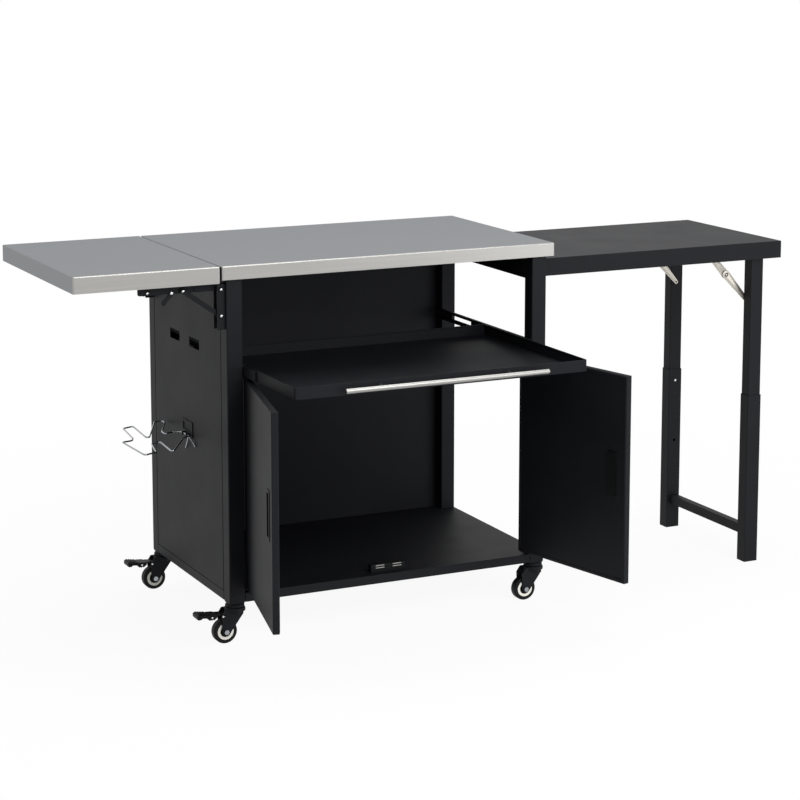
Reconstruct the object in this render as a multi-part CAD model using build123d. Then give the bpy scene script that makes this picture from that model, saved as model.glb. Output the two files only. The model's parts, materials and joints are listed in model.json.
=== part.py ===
from build123d import *
import os
from math import atan2, cos, degrees, hypot, radians, sin

# A grill prep cart: a steel cabinet on casters with a stainless worktop, a drop-leaf side shelf
# on the left, a slide-out tray, two doors and a lifting side table with folding legs on the right.
# Millimetres. The cart is laid out from the worktop's front left corner: x to the right along
# the front edge, y to the back, z up from the floor. The last section centres it on the origin.

# Worktop and side shelf
top_height = 920.0
worktop_width = 890.0
worktop_depth = 565.0
worktop_edge = 33.0
shelf_length = 358.0
shelf_edge = 40.0
shelf_gap = 4.0
steel_sheet = 1.2
liner_sheet = 2.0
liner_clearance = 0.3
top_corner_radius = 4.0
top_edge_radius = 2.5

# Frame posts and panels
post_size = 40.0
post_wall = 1.5
post_radius = 3.0
post_inset_left = 14.0
post_inset_right = 18.0
post_inset_front = 10.0
post_inset_rear = 15.0
panel_sheet = 1.2
panel_flange = 15.0
panel_seam = 0.3
panel_top_gap = 1.5
panel_bend = 2.5
back_flange = 5.0
cutout_length = 68.0
cutout_height = 25.0
cutout_z = 698.0
cutout_spacing = 134.0
cutout_offset = 15.0
floor_sheet = 1.5
floor_lip = 22.0
screw_head_radius = 5.0
screw_head_height = 2.5
screw_edge_radius = 1.0

# Side rail and side table hinges
rail_sheet = 1.5
rail_web = 59.0
rail_outer_flange = 19.0
hinge_barrel_radius = 4.0
hinge_pin_radius = 2.0
hinge_length = 60.0
hinge_leaf = 1.5
hinge_leaf_height = 30.0
hinge_gap = 0.3
hinge_stand_off = 0.5
hinge_drop = 19.0
hinge_spread = 260.0
running_clearance = 0.05

# Casters
caster_height = 100.0
wheel_radius = 30.0
wheel_width = 22.0
hub_radius = 21.0
hub_width = 20.0
hub_rim = 4.2
hub_dish = 2.0
tyre_round = 4.0
caster_trail = 28.0
axle_radius = 4.0
axle_head = 6.5
axle_head_length = 4.0
fork_gap = 2.0
fork_plate = 3.0
crown_radius = 19.0
crown_height = 16.0
crown_edge_radius = 2.0
stem_radius = 6.0
stem_length = 8.0
cup_radius = 17.0
cup_height = 9.0
mount_plate = 3.0
mount_margin = 1.0
swivel_gap = 0.4
pedal_reach = 100.0
pedal_width = 34.0
pedal_thickness = 4.0
pedal_rise = 4.0
pedal_hub_radius = 5.0
pedal_pin_radius = 2.5

# Slide-out tray
tray_pull = 290.0
tray_depth = 530.0
tray_height = 28.0
tray_rim_z = 678.0
tray_sheet = 1.2
tray_corner = 6.0
tray_side_gap = 8.0
rail_depth = 7.0
tray_rail_lip = 2.5
runner_length = 300.0
runner_thickness = 5.5
runner_clearance = 0.4
rail_slot_length = 110.0
rail_slot_height = 10.0
rail_slot_back = 95.0
handle_length = 527.0
handle_radius = 6.0
handle_edge_radius = 1.0
handle_standoff = 22.0
handle_post_radius = 4.0
handle_post_spacing = 334.0

# Doors
door_thickness = 16.0
door_sheet = 1.0
door_edge_radius = 2.0
door_gap = 2.5
door_top_gap = 3.0
door_bottom_gap = 9.0
door_open_angle = 103.0
pivot_from_post = 14.0
pivot_from_face = 7.0
pivot_pin_radius = 3.0
pivot_pin_length = 10.0
pivot_boss = 18.0
pivot_tab = 2.5
pivot_tab_gap = 0.5
pull_height = 118.0
pull_width = 38.0
pull_rim = 1.8
pull_margin = 5.0
pull_depth = 20.0
pull_wall = 1.6
pull_from_edge = 48.0
pull_rise = 10.0
strike_size = 24.0
strike_height = 8.0
strike_sheet = 1.5
strike_from_edge = 22.0
catch_length = 95.0
catch_depth = 16.0
catch_height = 11.0
catch_edge_radius = 2.0
magnet_gap = 0.6
magnet_thickness = 1.5
magnet_height = 8.0
magnet_slot = 2.0

# Side shelf folding brackets
wall_plate_width = 24.0
wall_plate_reach = 20.0
wall_plate_sheet = 2.0
wall_plate_length = 109.0
wall_plate_top_gap = 4.0
arm_pin_radius = 3.0
pin_head_radius = 5.0
pin_head_height = 2.0
arm_pivot_out = 10.0
arm_pivot_drop = 17.0
strut_pivot_drop = 80.0
arm_length = 201.0
arm_height = 21.0
arm_corner_radius = 5.0
arm_thickness = 4.0
arm_flange_width = 20.0
arm_flange_inset = 5.0
arm_flange_setback = 21.0
strut_thickness = 3.5
strut_width = 12.0
strut_pin_out = 93.0
strut_pin_rise = 2.0
lever_length = 31.0
lever_thickness = 2.5
lever_width = 10.0
lever_from_pivot = 119.0
lever_angle = 48.0
bracket_side_gap = 3.0
arm_rivets_out = (59.0, 178.0)
arm_rivet_radius = 4.5
arm_rivet_height = 1.6

# Side table
table_length = 727.0
table_apron = 45.0
table_sheet = 1.2
table_post_gap = 2.0
table_hinge_gap = 0.5
table_edge_radius = 2.0
table_hinge_rise = 5.0
leg_inset_end = 64.0
leg_inset_side = 14.0
sleeve_long = 41.0
sleeve_short = 36.0
sleeve_wall = 1.5
sleeve_top = 458.0
sleeve_clearance = 0.3
upper_leg_foot = 262.0
leg_pivot_drop = 23.0
leg_top_rise = 6.0
leg_spindle_radius = 8.0
leg_stub_radius = 5.0
leg_tab_thickness = 3.0
leg_tab_width = 30.0
leg_tab_gap = 5.0
crossbar_height = 25.0
crossbar_width = 20.0
crossbar_z = 70.0
foot_cap_height = 3.0
foot_plug_depth = 12.0
adjust_hole_radius = 4.0
adjust_hole_heights = (426.0, 253.0)
brace_leg_drop = 143.0
brace_head_rise = 10.0
brace_foot_offset = 4.0
brace_link_width = 16.0
brace_link_thickness = 2.5
brace_gap = 0.6
brace_pin_radius = 4.0
brace_tab_width = 24.0

# Bag ring
ring_wire_radius = 2.0
ring_bend_radius = 5.0
ring_z = 462.0
ring_axis_out = 6.5
ring_centre_y = 281.0
ring_ear_spacing = 56.0
ring_ear_width = 4.0
ring_ear_reach = 4.0
ring_ear_offset = 14.0
ring_end_gap = 0.5
ring_plate_width = 72.0
ring_plate_height = 40.0
ring_plate_sheet = 2.0
ring_plate_drop = 6.0
ring_plate_corner = 3.0
ring_window_margin = 9.0
ring_prop_radius = 1.5
ring_prop_offset = 24.0
ring_prop_feet = ((11.0, 38.0), (-59.0, 22.0))

# Levels and lines that several pieces share
under_top = top_height - worktop_edge
post_foot = caster_height
left_out = post_inset_left
left_in = left_out + post_size
right_out = worktop_width - post_inset_right
right_in = right_out - post_size
front_out = post_inset_front
front_in = front_out + post_size
rear_out = worktop_depth - post_inset_rear
rear_in = rear_out - post_size
floor_top = post_foot + floor_lip
bay_width = right_in - left_in
bay_middle = (left_in + right_in) / 2
side_middle = (front_out + rear_out) / 2
post_centres = {
    "front_left": (left_out + post_size / 2, front_out + post_size / 2),
    "front_right": (right_out - post_size / 2, front_out + post_size / 2),
    "rear_left": (left_out + post_size / 2, rear_out - post_size / 2),
    "rear_right": (right_out - post_size / 2, rear_out - post_size / 2),
}
nodes = {}


def block(xs, ys, zs):
    """A box between two values on each axis."""
    size = [b - a for a, b in (xs, ys, zs)]
    middle = [(a + b) / 2 for a, b in (xs, ys, zs)]
    return Pos(*middle) * Box(*size)


def rod(axis, centre, radius, start, end):
    """A round bar along an axis; centre gives the other two coordinates in x, y, z order."""
    turn = {"x": Rot(0, 90, 0), "y": Rot(90, 0, 0), "z": Rot(0, 0, 0)}[axis]
    place = list(centre)
    place.insert("xyz".index(axis), (start + end) / 2)
    return Pos(*place) * turn * Cylinder(radius, end - start)


def rounded(shape, radius, axis):
    """Round the edges of a box that run along one axis."""
    return fillet(shape.edges().filter_by(axis), radius)


def bar_link(start, end, width, y_from, y_to):
    """A flat bar with round ends between two x, z points, lying in an x, z plane."""
    length = hypot(end[0] - start[0], end[1] - start[1])
    turn = degrees(atan2(end[1] - start[1], end[0] - start[0]))
    flat = SlotCenterToCenter(length, width)
    bar = extrude(flat, y_to - y_from)
    middle = ((start[0] + end[0]) / 2, (start[1] + end[1]) / 2)
    return Pos(middle[0], y_to, middle[1]) * Rot(90, 0, 0) * Rot(0, 0, turn) * bar


def plate_xz(points, y_from, y_to):
    """A flat plate from an outline of x, z points, between two y values."""
    face = make_face(Polyline(*points, close=True))
    return Pos(0, y_to, 0) * Rot(90, 0, 0) * extrude(face, y_to - y_from)


def turned(shape, pivot, angle):
    """Turn a shape about a vertical axis through an x, y point."""
    return Pos(*pivot, 0) * Rot(0, 0, angle) * Pos(-pivot[0], -pivot[1], 0) * shape


def mirrored_y(shape, y):
    """The shape's mirror image across the plane at y."""
    return mirror(shape, Plane.XZ.offset(-y))


def group(*shapes):
    """Separate solids kept as one node."""
    return Compound(children=[solid for shape in shapes for solid in shape.solids()])


def pan_top(xs, ys, edge, sheet):
    """A top with edges folded down, its corners and top edge rounded."""
    zs = (top_height - edge, top_height)
    skin = rounded(block(xs, ys, zs), top_corner_radius, Axis.Z)
    skin = fillet(skin.faces().sort_by(Axis.Z)[-1].edges(), top_edge_radius)
    inside = block((xs[0] + sheet, xs[1] - sheet), (ys[0] + sheet, ys[1] - sheet), (zs[0], zs[1] - sheet))
    return skin - rounded(inside, top_corner_radius - sheet, Axis.Z)


def pan_liner(xs, ys, z):
    """A flat sheet that closes the underside of a folded top."""
    edge = steel_sheet + liner_clearance
    sheet = block((xs[0] + edge, xs[1] - edge), (ys[0] + edge, ys[1] - edge), (z, z + liner_sheet))
    return rounded(sheet, top_corner_radius - steel_sheet, Axis.Z)


def make_tops():
    """The stainless worktop and side shelf, each with the sheet that closes it below."""
    top_xs = (0, worktop_width)
    shelf_xs = (-shelf_gap - shelf_length, -shelf_gap)
    ys = (0, worktop_depth)
    nodes["worktop"] = pan_top(top_xs, ys, worktop_edge, steel_sheet)
    nodes["worktop_base"] = pan_liner(top_xs, ys, under_top)
    nodes["side_shelf"] = pan_top(shelf_xs, ys, shelf_edge, steel_sheet)
    nodes["side_shelf_base"] = pan_liner(shelf_xs, ys, top_height - shelf_edge)


def make_posts():
    """Four square tube posts from the caster plates to the worktop."""
    for name, (x, y) in post_centres.items():
        half = post_size / 2
        bore = half - post_wall
        outer = block((x - half, x + half), (y - half, y + half), (post_foot, under_top))
        inner = block((x - bore, x + bore), (y - bore, y + bore), (post_foot, under_top))
        outer = rounded(outer, post_radius, Axis.Z)
        nodes[name + "_post"] = outer - rounded(inner, post_radius - post_wall, Axis.Z)


def make_left_panel():
    """A folded panel between the left posts, with two hand holes near the top."""
    ys = (front_in + panel_seam, rear_in - panel_seam)
    zs = (floor_top + panel_seam, under_top - panel_top_gap)
    skin = block((left_out, left_out + panel_flange), ys, zs)
    outer_face = skin.faces().sort_by(Axis.X)[0]
    skin = fillet(outer_face.edges(), panel_bend)
    hollow_ys = (ys[0] + panel_sheet, ys[1] - panel_sheet)
    hollow_zs = (zs[0] + panel_sheet, zs[1] - panel_sheet)
    skin -= block((left_out + panel_sheet, left_out + panel_flange), hollow_ys, hollow_zs)
    for side in (-1, 1):
        y = side_middle + cutout_offset + side * cutout_spacing / 2
        span = (y - cutout_length / 2, y + cutout_length / 2)
        rise = (cutout_z - cutout_height / 2, cutout_z + cutout_height / 2)
        skin -= block((left_out, left_out + panel_flange), span, rise)
    nodes["left_panel"] = skin


def make_back_panel():
    """A sheet between the rear posts with its edges folded to the rear."""
    xs = (left_in + panel_seam, right_in - panel_seam)
    zs = (post_foot, under_top)
    ys = (rear_out - back_flange, rear_out)
    skin = block(xs, ys, zs)
    hollow_xs = (xs[0] + panel_sheet, xs[1] - panel_sheet)
    hollow_zs = (zs[0] + panel_sheet, zs[1] - panel_sheet)
    nodes["back_panel"] = skin - block(hollow_xs, (ys[0] + panel_sheet, ys[1]), hollow_zs)


def shelf_plan(inset, zs):
    """The cross-shaped plan of the bottom shelf, notched round the posts."""
    seam = panel_seam + inset
    rear = rear_out - back_flange - panel_seam
    wide = block((left_out + inset, right_out - inset), (front_in + seam, rear_in - seam), zs)
    deep = block((left_in + seam, right_in - seam), (front_out + inset, rear - inset), zs)
    return wide + deep


def make_bottom_shelf():
    """The cabinet floor, a sheet with its edges folded down between the posts."""
    skin = shelf_plan(0, (post_foot, floor_top))
    nodes["bottom_shelf"] = skin - shelf_plan(floor_sheet, (post_foot, floor_top - floor_sheet))


def make_side_rail():
    """The folded rail under the worktop between the right posts."""
    ys = (front_in, rear_in)
    web = block((right_in, right_in + rail_sheet), ys, (under_top - rail_web, under_top))
    top = block((right_in, right_out), ys, (under_top - rail_sheet, under_top))
    lip = block((right_out - rail_sheet, right_out), ys, (under_top - rail_outer_flange, under_top))
    nodes["side_rail"] = web + top + lip


# Side table hinge line, just outside the rail and just under the table's surface
hinge_x = right_out + hinge_barrel_radius + hinge_stand_off
hinge_z = under_top - hinge_drop
hinge_centres = (side_middle - hinge_spread / 2, side_middle + hinge_spread / 2)
table_left = hinge_x + hinge_barrel_radius + table_hinge_gap
table_right = table_left + table_length
table_top_z = hinge_z + table_hinge_rise
table_ys = (front_in + table_post_gap, rear_in - table_post_gap)


def make_table_hinges():
    """Two butt hinges: the rail's leaves carry the pins, the table's leaves turn on them."""
    fixed, moving = [], []
    third = hinge_length / 3
    for y in hinge_centres:
        start, end = y - hinge_length / 2, y + hinge_length / 2
        leaf_low = hinge_z + hinge_barrel_radius + hinge_gap
        leaf_xs = (right_out, right_out + hinge_leaf)
        part = block(leaf_xs, (start, end), (leaf_low, under_top - rail_sheet))
        for low, high in ((start, start + third), (end - third, end)):
            barrel = rod("y", (hinge_x, hinge_z), hinge_barrel_radius, low, high)
            part += barrel + block(leaf_xs, (low, high), (hinge_z, leaf_low))
        part += rod("y", (hinge_x, hinge_z), hinge_pin_radius, start, end)
        fixed.append(part)
        span = (start + third + hinge_gap, end - third - hinge_gap)
        leaf = block((table_left - hinge_leaf, table_left), span, (hinge_z - hinge_leaf_height, hinge_z))
        neck = block((hinge_x, table_left), span, (hinge_z - hinge_barrel_radius, hinge_z))
        bore = rod("y", (hinge_x, hinge_z), hinge_pin_radius + running_clearance, *span)
        barrel = rod("y", (hinge_x, hinge_z), hinge_barrel_radius, *span)
        moving.append(barrel + leaf + neck - bore)
    nodes["table_hinges"] = group(*fixed)
    nodes["table_hinge_leaves"] = group(*moving)


# Tray lines
tray_xs = (left_in + tray_side_gap, right_in - tray_side_gap)
tray_ys = (front_out - tray_pull, front_out - tray_pull + tray_depth)
tray_zs = (tray_rim_z - tray_height, tray_rim_z)


def make_tray():
    """A shallow pan with a bar handle and a runner on each side."""
    skin = rounded(block(tray_xs, tray_ys, tray_zs), tray_corner, Axis.Z)
    inside = block(
        (tray_xs[0] + tray_sheet, tray_xs[1] - tray_sheet),
        (tray_ys[0] + tray_sheet, tray_ys[1] - tray_sheet),
        (tray_zs[0] + tray_sheet, tray_zs[1]),
    )
    nodes["slide_out_tray"] = skin - rounded(inside, tray_corner - tray_sheet, Axis.Z)
    bar_z = tray_rim_z - tray_height / 2
    bar_y = tray_ys[0] - handle_standoff
    half = handle_length / 2
    bar = rod("x", (bar_y, bar_z), handle_radius, bay_middle - half, bay_middle + half)
    bar = fillet(bar.edges().filter_by(GeomType.CIRCLE), handle_edge_radius)
    for side in (-1, 1):
        x = bay_middle + side * handle_post_spacing / 2
        bar += rod("y", (x, bar_z), handle_post_radius, bar_y, tray_ys[0])
    nodes["tray_handle"] = bar
    zs = (tray_zs[0] + rail_sheet + runner_clearance, tray_zs[1] - rail_sheet - runner_clearance)
    ys = (tray_ys[1] - tray_corner - runner_length, tray_ys[1] - tray_corner)
    left = block((tray_xs[0] - runner_thickness, tray_xs[0]), ys, zs)
    right = block((tray_xs[1], tray_xs[1] + runner_thickness), ys, zs)
    nodes["tray_runners"] = group(left, right)


def make_tray_rails():
    """Channel rails on the posts that hold the tray's runners."""
    ys = (front_out + tray_rail_lip, rear_out - back_flange - tray_rail_lip)
    zs = tray_zs
    channel = block((right_in - rail_depth, right_in), ys, zs)
    groove_zs = (zs[0] + rail_sheet, zs[1] - rail_sheet)
    channel -= block((right_in - rail_depth, right_in - rail_sheet), ys, groove_zs)
    slot_ys = (ys[1] - rail_slot_back - rail_slot_length, ys[1] - rail_slot_back)
    slot_z = (zs[0] + zs[1]) / 2
    slot_zs = (slot_z - rail_slot_height / 2, slot_z + rail_slot_height / 2)
    channel -= block((right_in - rail_depth, right_in), slot_ys, slot_zs)
    other = mirror(channel, Plane.YZ.offset(bay_middle))
    nodes["tray_rails"] = group(other, channel)


# Door lines
door_width = (bay_width - 3 * door_gap) / 2
door_zs = (floor_top + door_bottom_gap, tray_zs[0] - door_top_gap - pivot_tab - pivot_tab_gap)
door_ys = (front_out, front_out + door_thickness)
pivot_y = front_out + pivot_from_face
pull_z = (door_zs[0] + door_zs[1]) / 2 + pull_rise
pull_hole_width = pull_width - 2 * pull_margin
pull_hole_height = pull_height - 2 * pull_margin


def closed_door(side):
    """One door's pieces in the closed pose; side is -1 for the left door and 1 for the right."""
    hinge_edge = (left_in + door_gap) if side < 0 else (right_in - door_gap)
    free_edge = hinge_edge - side * door_width
    pivot_x = (left_in + pivot_from_post) if side < 0 else (right_in - pivot_from_post)
    xs = tuple(sorted((hinge_edge, free_edge)))
    skin = block(xs, door_ys, door_zs)
    skin = fillet(skin.edges(), door_edge_radius)
    hollow = block(
        (xs[0] + door_sheet, xs[1] - door_sheet),
        (door_ys[0] + door_sheet, door_ys[1] - door_sheet),
        (door_zs[0] + door_sheet, door_zs[1] - door_sheet),
    )
    boss_ys = (door_ys[0] + door_sheet, door_ys[1] - door_sheet)
    boss_xs = (pivot_x - pivot_boss / 2, pivot_x + pivot_boss / 2)
    for z, inward in ((door_zs[0], 1), (door_zs[1], -1)):
        hollow -= block(boss_xs, boss_ys, tuple(sorted((z, z + inward * (pivot_pin_length + door_sheet)))))
    skin -= hollow
    bore = pivot_pin_radius + running_clearance
    skin -= rod("z", (pivot_x, pivot_y), bore, door_zs[0], door_zs[0] + pivot_pin_length)
    skin -= rod("z", (pivot_x, pivot_y), bore, door_zs[1] - pivot_pin_length, door_zs[1])
    pull_x = free_edge + side * pull_from_edge
    hole_xs = (pull_x - pull_hole_width / 2, pull_x + pull_hole_width / 2)
    hole_zs = (pull_z - pull_hole_height / 2, pull_z + pull_hole_height / 2)
    skin -= block(hole_xs, door_ys, hole_zs)
    rim = block(
        (pull_x - pull_width / 2, pull_x + pull_width / 2),
        (door_ys[0] - pull_rim, door_ys[0]),
        (pull_z - pull_height / 2, pull_z + pull_height / 2),
    )
    rim = rounded(rim, pull_margin, Axis.Y)
    fit = liner_clearance
    cup_xs = (hole_xs[0] + fit, hole_xs[1] - fit)
    cup_zs = (hole_zs[0] + fit, hole_zs[1] - fit)
    cup = rim + block(cup_xs, (door_ys[0] - pull_rim, door_ys[0] + pull_depth), cup_zs)
    cup -= block(
        (cup_xs[0] + pull_wall, cup_xs[1] - pull_wall),
        (door_ys[0] - pull_rim, door_ys[0] + pull_depth - pull_wall),
        (cup_zs[0] + pull_wall, cup_zs[1] - pull_wall),
    )
    strike_x = free_edge + side * strike_from_edge
    strike = block(
        (strike_x - strike_size / 2, strike_x + strike_size / 2),
        (door_ys[1], door_ys[1] + strike_sheet),
        (door_zs[0] + door_edge_radius, door_zs[0] + door_edge_radius + strike_height),
    )
    return {"door": skin, "door_pull": cup, "strike": strike}, (pivot_x, pivot_y), strike_x


def make_doors():
    """Both doors at their open rest pose, with their pivots and the magnetic catch."""
    tabs, magnets = [], []
    catch_front = door_ys[1] + strike_sheet + magnet_gap + magnet_thickness
    magnet_z = door_zs[0] + door_edge_radius + strike_height / 2
    for side, name in ((-1, "left"), (1, "right")):
        pieces, pivot, strike_x = closed_door(side)
        for piece, shape in pieces.items():
            nodes[name + "_" + piece] = turned(shape, pivot, side * door_open_angle)
        post_face = left_in if side < 0 else right_in
        reach = pivot[0] - side * (pivot_pin_radius + pivot_tab)
        tab_xs = tuple(sorted((post_face, reach)))
        tab_ys = (front_out + pivot_tab, pivot_y + pivot_boss / 2)
        top = door_zs[1] + pivot_tab_gap
        low = door_zs[0] - pivot_tab_gap
        upper = block(tab_xs, tab_ys, (top, top + pivot_tab))
        upper += rod("z", pivot, pivot_pin_radius, door_zs[1] - pivot_pin_length + pivot_tab_gap, top)
        lower = block(tab_xs, tab_ys, (low - pivot_tab, low))
        lower += rod("z", pivot, pivot_pin_radius, low, door_zs[0] + pivot_pin_length - pivot_tab_gap)
        tabs += [upper, lower]
        plate_ys = (catch_front - magnet_thickness, catch_front)
        plate = block(
            (strike_x - strike_size / 2, strike_x + strike_size / 2),
            plate_ys,
            (magnet_z - magnet_height / 2, magnet_z + magnet_height / 2),
        )
        plate -= block(
            (strike_x - strike_size / 2, strike_x + strike_size / 2),
            (plate_ys[0], plate_ys[0] + magnet_thickness / 2),
            (magnet_z - magnet_slot / 2, magnet_z + magnet_slot / 2),
        )
        magnets.append(plate)
    nodes["door_pivots"] = group(*tabs)
    body = block(
        (bay_middle - catch_length / 2, bay_middle + catch_length / 2),
        (catch_front, catch_front + catch_depth),
        (floor_top, magnet_z + catch_height / 2),
    )
    nodes["magnetic_catch"] = rounded(body, catch_edge_radius, Axis.Z)
    nodes["catch_magnets"] = group(*magnets)


# Side shelf bracket lines, for the front bracket; the rear one mirrors it
bracket_y = post_centres["front_left"][1]
arm_pivot = (left_out - arm_pivot_out, top_height - shelf_edge - arm_pivot_drop)
strut_pivot = (arm_pivot[0], top_height - shelf_edge - strut_pivot_drop)
strut_pin = (arm_pivot[0] - strut_pin_out, arm_pivot[1] + strut_pin_rise)
lever_pivot = (arm_pivot[0] - lever_from_pivot, arm_pivot[1] - strut_pin_rise)
plate_ys = (bracket_y - wall_plate_width / 2, bracket_y + wall_plate_width / 2)
strut_front = plate_ys[0] + wall_plate_sheet + bracket_side_gap
strut_ys = (strut_front, strut_front + strut_thickness)
lever_ys = (strut_ys[1] + brace_gap, strut_ys[1] + brace_gap + lever_thickness)
arm_ys = (lever_ys[1] + brace_gap, lever_ys[1] + brace_gap + arm_thickness)
lever_tip = (
    lever_pivot[0] - lever_length * cos(radians(lever_angle)),
    lever_pivot[1] - lever_length * sin(radians(lever_angle)),
)


def make_wall_plate():
    """The channel on the post with the pins for the arm and the strut."""
    top = top_height - shelf_edge - wall_plate_top_gap
    zs = (top - wall_plate_length, top)
    xs = (left_out - wall_plate_reach, left_out)
    part = block(xs, plate_ys, zs)
    groove_ys = (plate_ys[0] + wall_plate_sheet, plate_ys[1] - wall_plate_sheet)
    part -= block((xs[0], xs[1] - wall_plate_sheet), groove_ys, zs)
    for pivot, end in ((arm_pivot, plate_ys[1]), (strut_pivot, strut_ys[1])):
        part += rod("y", pivot, arm_pin_radius, plate_ys[0], end)
        part += rod("y", pivot, pin_head_radius, plate_ys[0] - pin_head_height, plate_ys[0])
    return part


def make_arm():
    """The arm under the side shelf: an upright bar with a flange against the shelf's base."""
    under = top_height - shelf_edge
    xs = (arm_pivot[0] - arm_length, arm_pivot[0] + 2 * arm_pin_radius)
    part = rounded(block(xs, arm_ys, (under - arm_height, under)), arm_corner_radius, Axis.Y)
    flange_xs = (xs[0] + arm_flange_inset, -shelf_gap - arm_flange_setback)
    flange_ys = (arm_ys[0], arm_ys[0] + arm_flange_width)
    part += block(flange_xs, flange_ys, (under - wall_plate_sheet, under))
    part -= rod("y", arm_pivot, arm_pin_radius + running_clearance, *arm_ys)
    return part - rod("y", lever_pivot, arm_pin_radius + running_clearance, *arm_ys)


def make_strut():
    """The strut from the lower pin up to the arm, with a rivet head at its free end."""
    part = bar_link(strut_pivot, strut_pin, strut_width, *strut_ys)
    part += rod("y", strut_pin, pin_head_radius, strut_ys[0] - pin_head_height, strut_ys[0])
    return part - rod("y", strut_pivot, arm_pin_radius + running_clearance, *strut_ys)


def make_lever():
    """The release lever, pinned to the arm."""
    part = bar_link(lever_pivot, lever_tip, lever_width, *lever_ys)
    return part + rod("y", lever_pivot, arm_pin_radius, lever_ys[0], arm_ys[1])


def make_arm_rivet(out):
    """A domed rivet on the arm's outer face, at a distance out from the arm's pivot."""
    centre = (arm_pivot[0] - out, arm_pivot[1] + strut_pin_rise)
    head = rod("y", centre, arm_rivet_radius, arm_ys[0] - arm_rivet_height, arm_ys[0])
    return fillet(head.faces().sort_by(Axis.Y)[0].edges(), arm_rivet_height / 2)


def make_brackets():
    """Two folding brackets, mirrored front to back."""
    plates, arms, struts, lever = make_wall_plate(), make_arm(), make_strut(), make_lever()
    rivets = [make_arm_rivet(out) for out in arm_rivets_out]
    nodes["bracket_wall_plates"] = group(plates, mirrored_y(plates, side_middle))
    nodes["bracket_arms"] = group(arms, mirrored_y(arms, side_middle))
    nodes["bracket_struts"] = group(struts, mirrored_y(struts, side_middle))
    nodes["release_levers"] = group(lever, mirrored_y(lever, side_middle))
    nodes["bracket_rivets"] = group(*rivets, *[mirrored_y(rivet, side_middle) for rivet in rivets])


# Caster lines, about a swivel axis at x = 0, y = 0
crown_top = caster_height - mount_plate - cup_height - swivel_gap
crown_low = crown_top - crown_height
fork_inner = wheel_width / 2 + fork_gap
fork_outer = fork_inner + fork_plate
pedal_pivot = (-crown_radius - 2 * pedal_hub_radius, wheel_radius * 2 + 2 * pedal_hub_radius)


def make_caster_mount():
    """The plate on the post's foot with the bearing cup that holds the swivel stem."""
    half = post_size / 2 - mount_margin
    part = block((-half, half), (-half, half), (caster_height - mount_plate, caster_height))
    part = rounded(part, post_radius, Axis.Z)
    low = caster_height - mount_plate - cup_height
    part += rod("z", (0, 0), cup_radius, low, caster_height - mount_plate)
    return part - rod("z", (0, 0), stem_radius + running_clearance, low, low + stem_length + swivel_gap)


def make_fork(braked):
    """The swivelling fork: crown, stem and two trailing side plates."""
    part = rod("z", (0, 0), crown_radius, crown_low, crown_top)
    part = fillet(part.edges().group_by(Axis.Z)[-1], crown_edge_radius)
    part += rod("z", (0, 0), stem_radius, crown_top, crown_top + stem_length)
    boss = axle_head + fork_plate
    outline = [
        (crown_radius - fork_plate, crown_top - fork_plate),
        (crown_radius - fork_plate, crown_low),
        (-caster_trail + boss, wheel_radius - boss / 2),
        (-caster_trail, wheel_radius - boss),
        (-caster_trail - boss, wheel_radius),
        (pedal_pivot[0] - 2 * pedal_hub_radius, pedal_pivot[1]),
        (pedal_pivot[0], crown_top - fork_plate),
    ]
    for side in (-1, 1):
        ys = sorted((side * fork_inner, side * fork_outer))
        plate = plate_xz(outline, *ys)
        plate -= rod("y", (-caster_trail, wheel_radius), axle_radius + running_clearance, *ys)
        if braked:
            plate -= rod("y", pedal_pivot, pedal_pin_radius + running_clearance, *ys)
        part += plate
    return part


def make_axle():
    """The wheel's axle bolt with a hexagon head at each end."""
    ends = fork_outer
    part = rod("y", (-caster_trail, wheel_radius), axle_radius, -ends, ends)
    hexagon = extrude(RegularPolygon(axle_head, 6), axle_head_length)
    for y in (-ends, ends + axle_head_length):
        part += Pos(-caster_trail, y, wheel_radius) * Rot(90, 0, 0) * hexagon
    return part


def make_tyre():
    """The rubber tread ring with rounded shoulders."""
    middle = (-caster_trail, wheel_radius)
    half = wheel_width / 2
    ring = rod("y", middle, wheel_radius, -half, half)
    ring = fillet(ring.edges().filter_by(GeomType.CIRCLE), tyre_round)
    return ring - rod("y", middle, hub_radius, -half, half)


def make_hub():
    """The wheel centre with a raised boss, a dished face and the axle bore."""
    middle = (-caster_trail, wheel_radius)
    half = hub_width / 2
    part = rod("y", middle, hub_radius - running_clearance, -half, half)
    dish_out = hub_radius - hub_rim
    dish_in = axle_head + fork_plate
    for side in (-1, 1):
        ys = sorted((side * half, side * (half - hub_dish)))
        part -= rod("y", middle, dish_out, *ys) - rod("y", middle, dish_in, *ys)
    return part - rod("y", middle, axle_radius + running_clearance, -half, half)


def make_pedal():
    """The foot brake: a hub between the fork plates and a wide pad."""
    hub_half = fork_inner - fork_gap / 2
    part = rod("y", pedal_pivot, pedal_hub_radius, -hub_half, hub_half)
    part += rod("y", pedal_pivot, pedal_pin_radius, -fork_outer, fork_outer)
    root = (pedal_pivot[0], pedal_pivot[1] + pedal_hub_radius)
    neck_x = -caster_trail - wheel_radius / 2 - 2 * pedal_hub_radius
    tip = (-pedal_reach, pedal_pivot[1] + pedal_hub_radius + pedal_rise)
    neck_z = root[1] + pedal_rise * (root[0] - neck_x) / (root[0] - tip[0])
    neck_top = (neck_x, neck_z)
    neck_low = (neck_x, neck_z - pedal_thickness)
    neck = [root, neck_top, neck_low, (root[0], root[1] - pedal_thickness)]
    pad = plate_xz(
        [neck_top, tip, (tip[0], tip[1] - pedal_thickness), neck_low], -pedal_width / 2, pedal_width / 2
    )
    pad = fillet(pad.faces().sort_by(Axis.X)[0].edges().filter_by(Axis.Z), pedal_thickness)
    return part + plate_xz(neck, -hub_half, hub_half) + pad


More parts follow.
